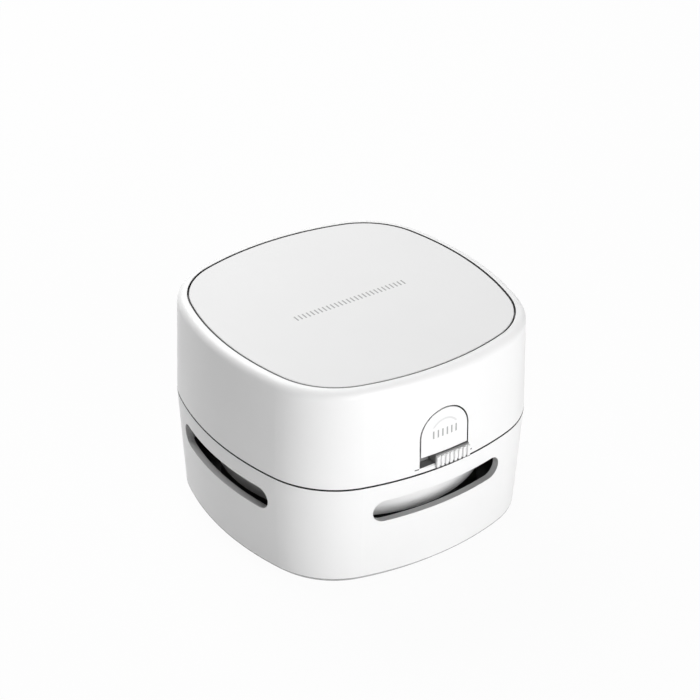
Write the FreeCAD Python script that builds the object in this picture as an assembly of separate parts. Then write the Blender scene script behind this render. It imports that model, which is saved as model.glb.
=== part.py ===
import FreeCAD, Part
import math
import os

from FreeCAD import Vector

# A palm-sized desktop vacuum cleaner, in millimetres, +Z up.
# Origin: centre of the plan, on the plane that the feet stand on. The front, with the button
# and the power switch, faces -Y. A lower dust box carries a lift-off motor unit.

# Plan: a rounded square of eight tangent arcs
BODY_WIDTH = 84.0           # across the flats at the parting line
SIDE_RADIUS = 81.0          # bow of each side
CORNER_RADIUS = 23.6

# Housings
FLOOR = 2.0
LOWER_DRAFT = 1.75          # how far the lower housing draws in at its base
UPPER_DRAFT = 0.8           # how far the upper housing draws in at its top
LOWER_WALL = 2.5            # at the parting line; the inner face is upright
UPPER_WALL = 2.4            # at the parting line; the inner face is upright
BASE_CHAMFER = 1.5
RIM_FILLET = 2.3
SHADOW_GAP = 0.5            # dark line between the housings
SHADOW_DEPTH = 1.0
MOULD_GAP = 0.3             # between curved faces of pieces that part
CONTACT_GAP = 0.05          # between pieces that one piece locates in another

# Feet and their screws
FOOT_RADIUS = 4.0
FOOT_PROUD = 1.0            # below the lower housing
SCREW_RADIUS = 0.9
SCREW_HEAD_RADIUS = 1.9
SCREW_HEAD = 0.9
SCREW_BITE = 6.0            # length of a screw in its boss
SCREW_SIDES = 8
BOSS_RADIUS = 2.6
BOSS_SIDES = 12
BOSS_MARGIN = 1.5           # from a boss to the wall beside it

# Exhaust slots, one in each side of the lower housing
SLOT_LENGTH = 39.8
SLOT_HEIGHT = 6.5
SLOT_Z = 22.7

# Intake, its brush and the dust cup
INTAKE_RADIUS = 8.0
CHIMNEY_TOP_Z = 17.0
CHIMNEY_WALL = 1.4
BRUSH_RING_RADIUS = 13.0
BRUSH_SINK = 0.6            # from the underside up to the ring
TUFT_COUNT = 20
TUFT_RADIUS = 0.75
TUFT_SIDES = 6
TUFT_CLEAR = 0.15           # above the table
CUP_FLOOR = 1.6
CUP_WALL = 1.6
CUP_SHOULDER = 6.2          # from the ledge down to where the wall steps in
CUP_LIP = 0.2               # that the cup stands above the filter
AIRWAY = 3.5                # round the cup, from the fan out to the slots
LEDGE_Z = 22.8              # seat of the filter
LEDGE_WIDTH = 1.4

# Filter
FILTER_HEIGHT = 4.0
FILTER_RING = 4.0
FILTER_CLOTH = 0.5
CLOTH_SIDES = 24
SPOKE_COUNT = 6
SPOKE_WIDTH = 1.6
SPOKE_HEIGHT = 2.0
HUB_RADIUS = 5.0
PULL_TAB_LENGTH = 8.0
PULL_TAB_HEIGHT = 1.6
PULL_TAB_THICKNESS = 1.4

# Fan
SHROUD = 1.5
INLET_RADIUS = 11.0
GUARD_BAR = 1.2
IMPELLER_RADIUS = 23.0
EYE_RADIUS = 9.0            # where the blades start
BLADE_COUNT = 7
BLADE_SWEEP = 48.0          # degrees that a blade trails from eye to tip
BLADE_FLATS = 4             # along a blade, in place of a curve
BLADE_THICKNESS = 1.1
BLADE_HEIGHT = 5.1
BACKPLATE = 1.2
FAN_GAP = 0.6               # above and below the impeller
FAN_HUB_RADIUS = 3.0
SHAFT_RADIUS = 1.0
SHAFT_TIP = 0.4             # hub that reaches past the shaft's end
SHAFT_IN_MOTOR = 4.0
SHAFT_CLEARANCE = 0.06

# Chassis, which carries the fan below it and the motor and cells above it
CHASSIS = 1.6
SPIGOT_WALL = 1.4
SPIGOT_LIFT = 1.0           # of the spigots' feet above the cup
SPIGOT_DEPTH = 3.1          # below the parting line
SPIGOT_HALF = 8.0           # half length on the sides and back
FRONT_SPIGOT_START = 15.0
FRONT_SPIGOT_END = 22.0
POST_GAP = 2.9              # between the impeller's rim and the posts
CHASSIS_SCREW_Y = 12.0
CHASSIS_NOTCH_GAP = 0.9     # beside the latch spring's legs
CHASSIS_NOTCH_DEPTH = 7.0

# Motor
MOTOR_RADIUS = 12.2
MOTOR_HEIGHT = 12.3
MOTOR_BOSS_RADIUS = 3.1
MOTOR_BOSS = 1.4
MOTOR_SCREW_SPREAD = 8.0
DAMPER = 0.8
END_CAP = 1.2
END_CAP_STEP = 0.8
VENT_RADIUS = 1.3
MOTOR_GAP = 0.4
TERMINAL_X = 6.0
TERMINAL_Y = -7.0
TERMINAL = 0.5
TERMINAL_WIDTH = 2.0

# AA cells and their tray
CELL_RADIUS = 7.25
CELL_LENGTH = 50.5          # with the button
CELL_BUTTON = 1.0
CELL_BUTTON_RADIUS = 2.75
CELL_GAP = 0.3
TRAY_WALL = 1.2
TRAY_END = 1.4
TRAY_END_HALF = 26.0
TRAY_END_RISE = 5.0         # above the cells' axes
TRAY_SCREW_X = 19.5
CONTACT = 0.3
CONTACT_HALF = 4.5
SPRING_LENGTH = 3.2
SPRING_SPAN = 4.0
SPRING_WIDTH = 5.0
LEAD = 0.9                  # side of a square lead
LEAD_X = 20.0
LEAD_GAP = 0.5

# Top cover
COVER = 2.2
PAD = 3.5                   # between the cover and the cells
COVER_INSET = 3.9
COVER_GAP = 0.5
COVER_CHAMFER = 0.15
SEAT = 1.3
SEAT_INSET = 6.4
TONGUE_HALF = 6.0
TONGUE_WALL = 1.0
TONGUE_DEPTH = 2.6
PAD_HALF_LENGTH = 14.0
PAD_HALF_WIDTH = 4.0

# Release button
BUTTON_WIDTH = 14.4
BUTTON_FLANK = 5.2          # height of its straight sides
BUTTON_GAP = 0.4
BUTTON_SKIN = 1.6
FLANGE_LIP = 2.0
DISH_RADIUS = 30.0
DISH_DEPTH = 0.35

# Latch spring, a leaf that returns the button and hooks under two ribs
LEAF = 0.5
LEAF_SETBACK = 3.0          # behind the front wall
LEG_GAP = 0.5               # between the switch carrier's shelf and a leg
LEG_WIDTH = 4.0
LEG_DROP = 3.0              # below the parting line
NOSE_REACH = 1.3
NOSE_WIDTH = 2.5
LEAF_BAR = 3.8              # height of the bar across its top
LEAF_SCREW_X = 5.0
LEAF_BOSS_RADIUS = 1.9
CATCH_GAP = 0.3
CATCH_HEIGHT = 0.8
CATCH_EDGE_GAP = 0.4

# Power switch
RECESS_RISE = 1.9           # above the parting line
RECESS_HEIGHT = 3.0         # up to the button
KNOB_WIDTH = 10.4
KNOB_HEIGHT = 2.5           # of its neck, in the recess
KNOB_SIDE_GAP = 0.2
KNOB_CAP = 0.75             # thickness, in front of the wall
KNOB_CAP_HEIGHT = 3.25
KNOB_CAP_DROP = 0.95        # below the recess
KNOB_CAP_GAP = 0.1          # between the cap and the wall
SWITCH_TRAVEL = 4.0
RIB_COUNT = 7
RIB_PITCH = 1.36
RIB_GROOVE = 0.6
RIB_DEPTH = 0.5
STEM_WIDTH = 1.8
STEM_HEIGHT = 1.2
CARRIER_WALL = 0.8
CARRIER_HALF = 9.2
CARRIER_SHELF_HALF = 8.0
CARRIER_SCREW_X = 6.0
SWITCH_DEPTH = 3.4
SWITCH_SHELL = 0.7
SLIDER_HALF = 1.3
PCB = 1.0
PCB_HEIGHT = 8.0
SILL_REACH = 1.2
SILL_HEIGHT = 0.25
SILL_DEPTH = 0.35

BODY_HALF = BODY_WIDTH / 2
BASE_Z = FOOT_PROUD
FLOOR_Z = BASE_Z + FLOOR
QUARTER = 90                # degrees
SIDES = tuple(QUARTER * side for side in range(4))
UP = Vector(0, 0, 1)
BEYOND = 6.0                # reach of a cutter past what it cuts
BRUSH_RING_Z = BASE_Z + BRUSH_SINK
CUP_TOP_Z = LEDGE_Z + FILTER_HEIGHT + CUP_LIP
SPIGOT_Z = CUP_TOP_Z + SPIGOT_LIFT
PARTING_Z = SPIGOT_Z + SPIGOT_DEPTH         # top of the lower housing
CUP_RADIUS = BODY_HALF - LOWER_WALL - AIRWAY
CUP_BORE = CUP_RADIUS - CUP_WALL
LEDGE_RADIUS = CUP_BORE - LEDGE_WIDTH
FILTER_RADIUS = CUP_BORE - MOULD_GAP
SHROUD_RADIUS = FILTER_RADIUS - MOULD_GAP
FILTER_TOP_Z = LEDGE_Z + FILTER_HEIGHT
SHROUD_Z = FILTER_TOP_Z
SHROUD_TOP_Z = SHROUD_Z + SHROUD
FAN_Z = SHROUD_TOP_Z + FAN_GAP
BACKPLATE_Z = FAN_Z + BLADE_HEIGHT
FAN_TOP_Z = BACKPLATE_Z + BACKPLATE
CHASSIS_Z = FAN_TOP_Z + FAN_GAP
CHASSIS_TOP_Z = CHASSIS_Z + CHASSIS
MOTOR_Z = CHASSIS_TOP_Z + DAMPER
MOTOR_TOP_Z = MOTOR_Z + MOTOR_HEIGHT
CELL_Z = CHASSIS_TOP_Z + TRAY_WALL + CELL_GAP + CELL_RADIUS
CELL_Y = MOTOR_RADIUS + MOTOR_GAP + TRAY_WALL + CELL_GAP + CELL_RADIUS
BAY_HALF = (CELL_LENGTH + SPRING_LENGTH) / 2 + CONTACT
LEAD_Z = CELL_Z + CELL_RADIUS + LEAD_GAP + LEAD / 2
COVER_Z = CELL_Z + CELL_RADIUS + CELL_GAP + PAD
TOP_Z = COVER_Z + COVER
SEAT_Z = COVER_Z - SEAT
RECESS_Z = PARTING_Z + RECESS_RISE
BUTTON_BOTTOM_Z = RECESS_Z + RECESS_HEIGHT
BUTTON_ARCH_Z = BUTTON_BOTTOM_Z + BUTTON_FLANK
OPENING_HALF = BUTTON_WIDTH / 2 + BUTTON_GAP
LEAF_Y = LEAF_SETBACK + UPPER_WALL - BODY_HALF
LEAF_TOP_Z = COVER_Z - TONGUE_DEPTH - MOULD_GAP
LEAF_BAR_Z = LEAF_TOP_Z - LEAF_BAR
LEAF_SCREW_Z = LEAF_TOP_Z - LEAF_BAR / 2
LEG_START = CARRIER_SHELF_HALF + LEG_GAP
LEG_END = LEG_START + LEG_WIDTH
NOSE_END = LEG_START + NOSE_WIDTH
LEG_BOTTOM_Z = PARTING_Z - LEG_DROP
CATCH_Z = LEG_BOTTOM_Z + LEAF + CATCH_GAP
PRESS_Y = LEAF_Y - CATCH_GAP
KNOB_X = OPENING_HALF - KNOB_SIDE_GAP - KNOB_WIDTH / 2
KNOB_Z = RECESS_Z + KNOB_SIDE_GAP
KNOB_CAP_Y = -BODY_HALF - KNOB_CAP_GAP
KNOB_CAP_Z = RECESS_Z - KNOB_CAP_DROP
STEM_Z = KNOB_Z + KNOB_HEIGHT / 2
CHASSIS_NOTCH_HALF = LEG_END + CHASSIS_NOTCH_GAP
NOTCH_Y = CHASSIS_NOTCH_DEPTH + UPPER_WALL + MOULD_GAP - BODY_HALF


def box(x0, x1, y0, y1, z0, z1):
    """Upright block between three pairs of planes."""
    return Part.makeBox(x1 - x0, y1 - y0, z1 - z0, Vector(x0, y0, z0))


def rod(radius, z0, z1, x=0.0, y=0.0):
    """Upright cylinder."""
    return Part.makeCylinder(radius, z1 - z0, Vector(x, y, z0))


def rod_y(radius, y0, y1, x, z):
    """Cylinder along Y."""
    return Part.makeCylinder(radius, y1 - y0, Vector(x, y0, z), Vector(0, 1, 0))


def rod_x(radius, x0, x1, y, z):
    """Cylinder along X."""
    return Part.makeCylinder(radius, x1 - x0, Vector(x0, y, z), Vector(1, 0, 0))


def tube(outer, inner, z0, z1):
    """Upright ring about the vertical axis."""
    return rod(outer, z0, z1).cut(rod(inner, z0, z1))


def peg(radius, sides, z0, z1, place):
    """Upright prism with a regular section, for a screw or the hole that it bites in."""
    centre = Vector(place.x, place.y, z0)
    corners = [centre + polar(radius, 360 * side / sides) for side in range(sides)]
    return Part.Face(Part.makePolygon(corners + corners[:1])).extrude(Vector(0, 0, z1 - z0))


def turned(shape, degrees):
    """Copy of a shape turned about the vertical axis."""
    copy = shape.copy()
    copy.rotate(Vector(0, 0, 0), UP, degrees)
    return copy


def joined(shapes):
    """One solid made of touching shapes."""
    return shapes[0].multiFuse(shapes[1:]).removeSplitter()


def arc(first, middle, last):
    """Edge along the circle through three points."""
    return Part.Arc(first, middle, last).toShape()


def revolved(points):
    """Solid of revolution of a closed profile given as (radius, height) pairs."""
    corners = [Vector(radius, 0, z) for radius, z in points]
    profile = Part.makePolygon(corners + corners[:1])
    return Part.Face(profile).revolve(Vector(0, 0, 0), UP, 360)


def polar(radius, degrees, z=0.0):
    """Point at a radius and an angle about the vertical axis."""
    angle = math.radians(degrees)
    return Vector(radius * math.cos(angle), radius * math.sin(angle), z)


def outline(inset, z):
    """Plan outline at height z, parallel to the widest one and drawn in by inset."""
    side_shift = SIDE_RADIUS - BODY_HALF
    spread = SIDE_RADIUS - CORNER_RADIUS
    corner = (math.sqrt(2 * spread ** 2 - side_shift ** 2) - side_shift) / 2
    half_angle = math.degrees(math.atan2(corner, corner + side_shift))
    edges = []
    for side in SIDES:
        side_centre = polar(-side_shift, side, z)
        corner_centre = polar(math.hypot(corner, corner), side + QUARTER / 2, z)
        start = side - half_angle
        end = side + half_angle
        edges.append(Part.makeCircle(SIDE_RADIUS - inset, side_centre, UP, start, end))
        edges.append(Part.makeCircle(CORNER_RADIUS - inset, corner_centre, UP, end, start + QUARTER))
    return Part.Wire(edges)


def side_reach(inset, along):
    """Distance from the middle to a side of the plan outline, at a place along that side."""
    return math.sqrt((SIDE_RADIUS - inset) ** 2 - along ** 2) - SIDE_RADIUS + BODY_HALF


def prism(inset, z0, z1):
    """Straight block with the plan outline."""
    return Part.Face(outline(inset, z0)).extrude(Vector(0, 0, z1 - z0))


def band(outer_inset, inner_inset, z0, z1):
    """Straight ring between two plan outlines."""
    return prism(outer_inset, z0, z1).cut(prism(inner_inset, z0, z1))


def lower_inset(z):
    """How far the lower housing's face is drawn in at height z."""
    return LOWER_DRAFT * (PARTING_Z - z) / (PARTING_Z - BASE_Z)


def upper_inset(z):
    """How far the upper housing's face is drawn in at height z."""
    return UPPER_DRAFT * (z - PARTING_Z) / (TOP_Z - PARTING_Z)


def drafted(inset_at, z0, z1):
    """Block with a drafted housing's outer face."""
    sections = [outline(inset_at(z), z) for z in (z0, z1)]
    return Part.makeLoft(sections, True, True)


def edges_at(shape, z):
    """Edges of a shape that lie in the plane at height z."""
    near = 1e-3
    return [
        edge for edge in shape.Edges
        if abs(edge.BoundBox.ZMin - z) < near and abs(edge.BoundBox.ZMax - z) < near
    ]


def foot_places():
    """Centres of the feet, and of the screws above them."""
    reach = LEDGE_RADIUS - BOSS_RADIUS - BOSS_MARGIN
    return [polar(reach, side + QUARTER / 2) for side in SIDES]


def post_places():
    """Centres of the chassis posts that the fan shroud hangs from."""
    return [polar(IMPELLER_RADIUS + POST_GAP + BOSS_RADIUS, side + QUARTER / 2) for side in SIDES]


def chassis_screw_places():
    """Centres of the screws that hold the chassis in the upper housing."""
    x = side_reach(UPPER_WALL, CHASSIS_SCREW_Y) + MOULD_GAP - BOSS_RADIUS
    return [
        Vector(side * x, end * CHASSIS_SCREW_Y, 0) for side in (-1, 1) for end in (-1, 1)
    ]


def screw(place, head_z, tip_z):
    """Screw whose head starts at head_z and whose shank ends at tip_z."""
    head_end = head_z + math.copysign(SCREW_HEAD, tip_z - head_z)
    head = peg(SCREW_HEAD_RADIUS, SCREW_SIDES, head_z, head_end, place)
    return joined([head, peg(SCREW_RADIUS, SCREW_SIDES, head_end, tip_z, place)])


def screw_hole(place, z0, z1):
    """Hole that a screw bites in or passes through."""
    return peg(SCREW_RADIUS, SCREW_SIDES, z0, z1, place)


def head_hole(place, z0, z1):
    """Counterbore for a screw's head."""
    return peg(SCREW_HEAD_RADIUS + CONTACT_GAP, SCREW_SIDES, z0, z1, place)


def boss(place, z0, z1):
    """Upright boss for a screw."""
    return peg(BOSS_RADIUS, BOSS_SIDES, z0, z1, place)


def laid(shape, y, x, z):
    """Shape built upright at the origin, laid over so that its top points to +Y."""
    copy = shape.copy()
    copy.rotate(Vector(0, 0, 0), Vector(1, 0, 0), -QUARTER)
    copy.translate(Vector(x, y, z))
    return copy


def stadium_y(length, height, z, y0, y1):
    """Slot cutter along Y with round ends."""
    radius = height / 2
    reach = length / 2 - radius
    middle = box(-reach, reach, y0, y1, z - radius, z + radius)
    ends = [rod_y(radius, y0, y1, side * reach, z) for side in (-1, 1)]
    return joined([middle] + ends)


def arch(half_width, bottom_z, y0, y1):
    """Block along Y with a flat foot and a half-round top."""
    foot = box(-half_width, half_width, y0, y1, bottom_z, BUTTON_ARCH_Z)
    above = box(-half_width, half_width, y0, y1, BUTTON_ARCH_Z, BUTTON_ARCH_Z + half_width)
    return joined([foot, rod_y(half_width, y0, y1, 0, BUTTON_ARCH_Z).common(above)])


def catch_rib(side):
    """Rib on the front wall that a nose of the latch spring hooks under, sloped on top."""
    edge_y = LEAF_Y - CATCH_EDGE_GAP
    root_y = LOWER_WALL / 2 - BODY_HALF
    start = side * LEG_START
    profile = [
        Vector(start, root_y, CATCH_Z),
        Vector(start, edge_y, CATCH_Z),
        Vector(start, edge_y, CATCH_Z + CATCH_HEIGHT),
        Vector(start, root_y, PARTING_Z - SHADOW_GAP),
    ]
    face = Part.Face(Part.makePolygon(profile + profile[:1]))
    return face.extrude(Vector(side * (NOSE_END - LEG_START), 0, 0))


def lower_housing():
    """Drafted tub with a slot in each side, an intake in its floor and two catch ribs."""
    tub = drafted(lower_inset, BASE_Z, PARTING_Z)
    tub = tub.makeChamfer(BASE_CHAMFER, edges_at(tub, BASE_Z))
    slot = stadium_y(SLOT_LENGTH, SLOT_HEIGHT, SLOT_Z, -BODY_HALF - BEYOND, BEYOND - BODY_HALF)
    cutters = [turned(slot, side) for side in SIDES] + [
        prism(LOWER_WALL, FLOOR_Z, PARTING_Z),
        rod(BRUSH_RING_RADIUS + CONTACT_GAP, BASE_Z, FLOOR_Z),
    ]
    for place in foot_places():
        cutters.append(head_hole(place, BASE_Z, BASE_Z + SCREW_HEAD))
        cutters.append(screw_hole(place, BASE_Z, FLOOR_Z))
    return joined([tub.cut(cutters)] + [catch_rib(side) for side in (-1, 1)])


def dust_cup():
    """Round cup with an intake chimney, a shouldered ledge for the filter and screw bosses."""
    floor_top_z = FLOOR_Z + CUP_FLOOR
    chimney_radius = INTAKE_RADIUS + CHIMNEY_WALL
    cup = revolved([
        (INTAKE_RADIUS, FLOOR_Z),
        (LEDGE_RADIUS + CUP_WALL, FLOOR_Z),
        (LEDGE_RADIUS + CUP_WALL, LEDGE_Z - CUP_SHOULDER),
        (CUP_RADIUS, LEDGE_Z - CUP_SHOULDER),
        (CUP_RADIUS, CUP_TOP_Z),
        (CUP_BORE, CUP_TOP_Z),
        (CUP_BORE, LEDGE_Z),
        (LEDGE_RADIUS, LEDGE_Z),
        (LEDGE_RADIUS, floor_top_z),
        (chimney_radius, floor_top_z),
        (chimney_radius, CHIMNEY_TOP_Z),
        (INTAKE_RADIUS, CHIMNEY_TOP_Z),
    ])
    boss_top_z = FLOOR_Z + SCREW_BITE + CUP_FLOOR
    bosses = [boss(place, FLOOR_Z, boss_top_z) for place in foot_places()]
    pilots = [screw_hole(place, FLOOR_Z, FLOOR_Z + SCREW_BITE) for place in foot_places()]
    return joined([cup] + bosses).cut(pilots)


def brush_ring():
    """Ring that carries the brush, seated in the housing's floor under the cup."""
    return tube(BRUSH_RING_RADIUS, INTAKE_RADIUS, BRUSH_RING_Z, FLOOR_Z)


def brush_bristles():
    """Ring of tufts under the brush ring, just clear of the table."""
    reach = (INTAKE_RADIUS + BRUSH_RING_RADIUS) / 2
    tufts = []
    for index in range(TUFT_COUNT):
        centre = polar(reach, 360 * index / TUFT_COUNT)
        tufts.append(peg(TUFT_RADIUS, TUFT_SIDES, TUFT_CLEAR, BRUSH_RING_Z, centre))
    return Part.Compound(tufts)


def feet():
    """Four round pads under the lower housing, each over a screw head."""
    return Part.Compound([rod(FOOT_RADIUS, 0, BASE_Z, place.x, place.y) for place in foot_places()])


def cup_screws():
    """Four screws that hold the cup in the lower housing."""
    tip_z = FLOOR_Z + SCREW_BITE
    return Part.Compound([screw(place, BASE_Z, tip_z) for place in foot_places()])


def filter_frame():
    """Spoked ring with a hub and a pull tab, which sits on the cup's ledge."""
    spoke_top_z = LEDGE_Z + SPOKE_HEIGHT
    pieces = [
        tube(FILTER_RADIUS, FILTER_RADIUS - FILTER_RING, LEDGE_Z, FILTER_TOP_Z),
        rod(HUB_RADIUS, LEDGE_Z, spoke_top_z),
        box(
            -PULL_TAB_LENGTH / 2, PULL_TAB_LENGTH / 2,
            -PULL_TAB_THICKNESS / 2, PULL_TAB_THICKNESS / 2,
            spoke_top_z, spoke_top_z + PULL_TAB_HEIGHT,
        ),
    ]
    spoke_end = FILTER_RADIUS - FILTER_RING / 2
    spoke = box(0, spoke_end, -SPOKE_WIDTH / 2, SPOKE_WIDTH / 2, LEDGE_Z, spoke_top_z)
    pieces += [turned(spoke, 360 * index / SPOKE_COUNT) for index in range(SPOKE_COUNT)]
    return joined(pieces)


def filter_mesh():
    """Filter cloth, cut with many straight sides and bonded under the frame."""
    radius = LEDGE_RADIUS - MOULD_GAP
    return peg(radius, CLOTH_SIDES, LEDGE_Z - FILTER_CLOTH, LEDGE_Z, Vector(0, 0, 0))


def fan_shroud():
    """Plate under the impeller with crossed guard bars over its inlet, hung from the posts."""
    bar = box(
        -INLET_RADIUS - GUARD_BAR, INLET_RADIUS + GUARD_BAR,
        -GUARD_BAR / 2, GUARD_BAR / 2, SHROUD_Z, SHROUD_TOP_Z,
    )
    plate = tube(SHROUD_RADIUS, INLET_RADIUS, SHROUD_Z, SHROUD_TOP_Z)
    holes = [screw_hole(place, SHROUD_Z, SHROUD_TOP_Z) for place in post_places()]
    sinks = [head_hole(place, SHROUD_Z, SHROUD_Z + SCREW_HEAD) for place in post_places()]
    return joined([plate, bar, turned(bar, QUARTER)]).cut(holes + sinks)


def shroud_screws():
    """Four screws, flush in the shroud, up into the posts."""
    tip_z = SHROUD_Z + SCREW_BITE
    return Part.Compound([screw(place, SHROUD_Z, tip_z) for place in post_places()])


def blade_edge(shift):
    """One face of a blade in plan, in short flats, shifted sideways from its middle line."""
    points = []
    for step in range(BLADE_FLATS + 1):
        share = step / BLADE_FLATS
        radius = EYE_RADIUS + (IMPELLER_RADIUS - EYE_RADIUS) * share
        angle = -BLADE_SWEEP * share + math.degrees(shift / radius)
        points.append(polar(radius, angle, FAN_Z))
    return points


def impeller():
    """Radial fan: a backplate on top, backward-swept blades below it and a hub."""
    corners = blade_edge(BLADE_THICKNESS / 2) + blade_edge(-BLADE_THICKNESS / 2)[::-1]
    profile = Part.Face(Part.makePolygon(corners + corners[:1]))
    blade = profile.extrude(Vector(0, 0, BLADE_HEIGHT))
    blades = [turned(blade, 360 * index / BLADE_COUNT) for index in range(BLADE_COUNT)]
    disc = rod(IMPELLER_RADIUS, BACKPLATE_Z, FAN_TOP_Z)
    hub = rod(FAN_HUB_RADIUS, FAN_Z, FAN_TOP_Z)
    bore = rod(SHAFT_RADIUS, FAN_Z + SHAFT_TIP, FAN_TOP_Z)
    return joined([disc, hub] + blades).cut(bore)


def motor_shaft():
    """Plain shaft from the impeller's hub up into the motor."""
    return rod(SHAFT_RADIUS, FAN_Z + SHAFT_TIP, MOTOR_Z + SHAFT_IN_MOTOR)


def spigots():
    """Skirt lengths of the chassis that locate the motor unit in the lower housing."""
    inset = LOWER_WALL + MOULD_GAP
    skirt = band(inset, inset + SPIGOT_WALL, SPIGOT_Z, CHASSIS_Z)
    inner_y = BODY_HALF - inset - CHASSIS_NOTCH_DEPTH
    back = box(-SPIGOT_HALF, SPIGOT_HALF, inner_y, BODY_HALF, SPIGOT_Z, CHASSIS_Z)
    keepers = [turned(back, angle) for angle in (-QUARTER, 0, QUARTER)]
    for side in (-1, 1):
        start, end = sorted((side * FRONT_SPIGOT_START, side * FRONT_SPIGOT_END))
        keepers.append(box(start, end, -BODY_HALF, -inner_y, SPIGOT_Z, CHASSIS_Z))
    return [skirt.common(keeper) for keeper in keepers]


def chassis():
    """Plate with locating spigots and posts for the shroud."""
    plate = prism(UPPER_WALL + MOULD_GAP, CHASSIS_Z, CHASSIS_TOP_Z)
    posts = [boss(place, SHROUD_TOP_Z, CHASSIS_Z) for place in post_places()]
    cutters = [
        rod(MOTOR_BOSS_RADIUS + MOULD_GAP, CHASSIS_Z, CHASSIS_TOP_Z),
        box(
            -CHASSIS_NOTCH_HALF, CHASSIS_NOTCH_HALF, -BODY_HALF, NOTCH_Y,
            CHASSIS_Z, CHASSIS_TOP_Z,
        ),
    ]
    plate_screws = chassis_screw_places() + tray_screw_places() + carrier_screw_places()
    for place in plate_screws + motor_screw_places():
        cutters.append(screw_hole(place, CHASSIS_Z, CHASSIS_TOP_Z))
    for place in motor_screw_places():
        cutters.append(head_hole(place, CHASSIS_Z, CHASSIS_Z + SCREW_HEAD))
    for place in post_places():
        cutters.append(screw_hole(place, SHROUD_TOP_Z, SHROUD_Z + SCREW_BITE))
    return joined([plate] + spigots() + posts).cut(cutters)


def chassis_screws():
    """Four screws from the chassis into the upper housing."""
    head_z = CHASSIS_Z - SCREW_HEAD
    tip_z = CHASSIS_TOP_Z + SCREW_BITE
    return Part.Compound([screw(place, head_z, tip_z) for place in chassis_screw_places()])


def motor_screw_places():
    """Centres of the two screws in the motor's face."""
    return [Vector(side * MOTOR_SCREW_SPREAD, 0, 0) for side in (-1, 1)]


def motor_can():
    """Flat round motor with a bearing boss that passes down through the chassis."""
    can = joined([
        rod(MOTOR_RADIUS, MOTOR_Z, MOTOR_TOP_Z),
        rod(MOTOR_BOSS_RADIUS, MOTOR_Z - MOTOR_BOSS, MOTOR_Z),
    ])
    bore_radius = SHAFT_RADIUS + SHAFT_CLEARANCE
    bore = rod(bore_radius, MOTOR_Z - MOTOR_BOSS, MOTOR_Z + SHAFT_IN_MOTOR + MOULD_GAP)
    threads = [screw_hole(place, MOTOR_Z, motor_screw_tip()) for place in motor_screw_places()]
    return can.cut([bore] + threads)


def motor_screw_tip():
    """Height of the motor screws' tips."""
    return MOTOR_Z + SCREW_BITE / 2


def motor_end_cap():
    """Moulded end cap with a bearing boss and two vents."""
    cap = joined([
        rod(MOTOR_RADIUS - END_CAP_STEP, MOTOR_TOP_Z, MOTOR_TOP_Z + END_CAP),
        rod(MOTOR_BOSS_RADIUS, MOTOR_TOP_Z + END_CAP, MOTOR_TOP_Z + 2 * END_CAP),
    ])
    vents = [
        peg(VENT_RADIUS, SCREW_SIDES, MOTOR_TOP_Z, MOTOR_TOP_Z + END_CAP, Vector(x, -TERMINAL_Y, 0))
        for x in (-TERMINAL_X, TERMINAL_X)
    ]
    return cap.cut(vents)


def motor_terminals():
    """Two blade terminals on the end cap, which the leads reach."""
    blades = []
    for side in (-1, 1):
        x = side * TERMINAL_X
        blades.append(box(
            x - TERMINAL / 2, x + TERMINAL / 2,
            TERMINAL_Y - TERMINAL_WIDTH / 2, TERMINAL_Y + TERMINAL_WIDTH / 2,
            MOTOR_TOP_Z + END_CAP, LEAD_Z - LEAD / 2,
        ))
    return Part.Compound(blades)


def motor_damper():
    """Soft pad with straight sides between the motor and the chassis."""
    pad = peg(MOTOR_RADIUS, BOSS_SIDES, CHASSIS_TOP_Z, MOTOR_Z, Vector(0, 0, 0))
    holes = [screw_hole(place, CHASSIS_TOP_Z, MOTOR_Z) for place in motor_screw_places()]
    holes.append(rod(MOTOR_BOSS_RADIUS + MOULD_GAP, CHASSIS_TOP_Z, MOTOR_Z))
    return pad.cut(holes)


def motor_screws():
    """Two screws, flush under the chassis, up through the damper into the motor."""
    tip_z = motor_screw_tip()
    return Part.Compound([screw(place, CHASSIS_Z, tip_z) for place in motor_screw_places()])


def tray_screw_places():
    """Centres of the two screws that hold the tray on the chassis."""
    return [Vector(side * TRAY_SCREW_X, 0, 0) for side in (-1, 1)]


def battery_tray():
    """Two troughs for the cells on one floor, with end walls for the contacts."""
    bay = CELL_RADIUS + CELL_GAP
    outer = bay + TRAY_WALL
    end = BAY_HALF + TRAY_END
    floor_half = CELL_Y - outer / 2
    floor = box(-end, end, -floor_half, floor_half, CHASSIS_TOP_Z, CHASSIS_TOP_Z + TRAY_WALL)
    troughs = []
    bays = []
    for side in (-1, 1):
        y = side * CELL_Y
        trough = rod_x(outer, -end, end, y, CELL_Z)
        below = box(-end, end, y - outer, y + outer, CHASSIS_TOP_Z, CELL_Z)
        troughs.append(trough.common(below))
        bays.append(rod_x(bay, -BAY_HALF, BAY_HALF, y, CELL_Z))
        bays.append(box(-BAY_HALF, BAY_HALF, y - bay, y + bay, CELL_Z, CELL_Z + outer))
    top_z = CELL_Z + TRAY_END_RISE
    walls = [
        box(x, x + TRAY_END, -TRAY_END_HALF, TRAY_END_HALF, CHASSIS_TOP_Z, top_z)
        for x in (-end, BAY_HALF)
    ]
    floor_top_z = CHASSIS_TOP_Z + TRAY_WALL
    holes = [screw_hole(place, CHASSIS_TOP_Z, floor_top_z) for place in tray_screw_places()]
    holes.append(rod(MOTOR_RADIUS + MOTOR_GAP, CHASSIS_TOP_Z, floor_top_z))
    slots = contact_plates().Solids
    inside = prism(UPPER_WALL + MOULD_GAP, CHASSIS_TOP_Z, top_z)
    return joined([floor] + troughs + walls).common(inside).cut(bays + holes + slots)


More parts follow.
